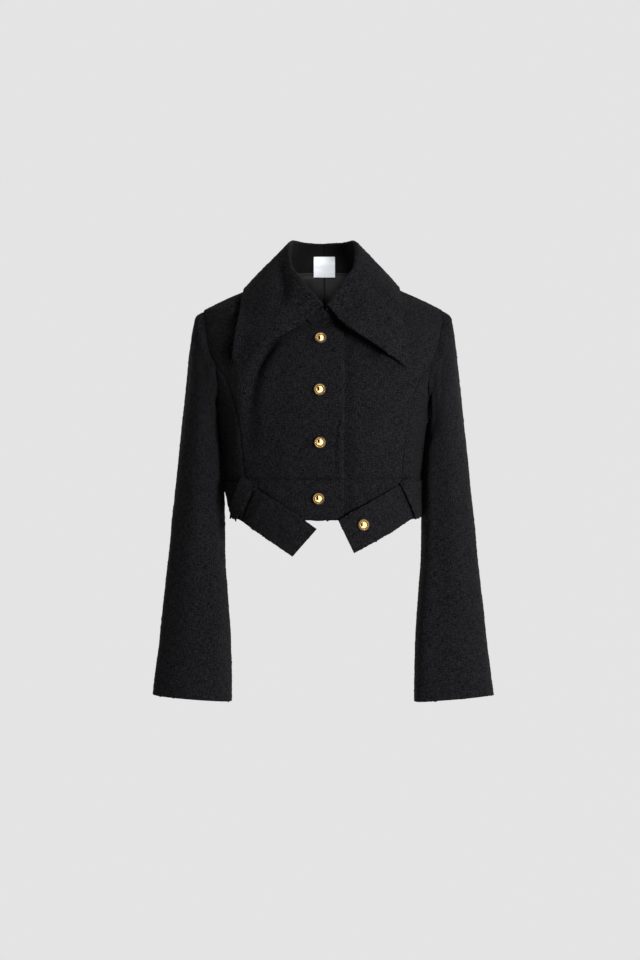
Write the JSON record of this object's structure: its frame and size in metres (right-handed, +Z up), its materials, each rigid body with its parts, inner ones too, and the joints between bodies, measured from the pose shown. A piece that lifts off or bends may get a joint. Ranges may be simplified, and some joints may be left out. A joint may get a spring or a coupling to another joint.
{
  "type": "cropped tweed jacket",
  "caption": "Cropped black tweed jacket, hollow as worn, with wide pointed collar, bell sleeves, gold dome buttons and a belt with free ends under a waist seam.",
  "frame": {"origin": "midway between the shoulders, level with the points where the shoulder seams meet the neckline, where the wearer holds the jacket up", "axes": "+Z up, the front faces -Y, the wearer's left is +X"},
  "size_m": [0.564, 0.2373, 0.7597],
  "materials": {
    "black_tweed": "nubbly black boucle tweed, matt",
    "satin_lining": "charcoal satin, soft sheen",
    "label_satin": "plain white woven label, blank",
    "gold_metal": "polished gold plate"
  },
  "bodies": {
    "root": {"front_right": "black_tweed", "front_left": "black_tweed", "side_front_right": "black_tweed", "side_front_left": "black_tweed", "back": "black_tweed", "waistband": "black_tweed", "sleeve_right": "black_tweed", "sleeve_left": "black_tweed", "collar": "black_tweed", "belt": "black_tweed", "belt_loop_right": "black_tweed", "belt_loop_left": "black_tweed", "lining_back": "satin_lining", "neck_label": "label_satin", "button_1": "gold_metal", "button_2": "gold_metal", "button_3": "gold_metal", "button_4": "gold_metal", "belt_button": "gold_metal"}
  },
  "joints": []
}
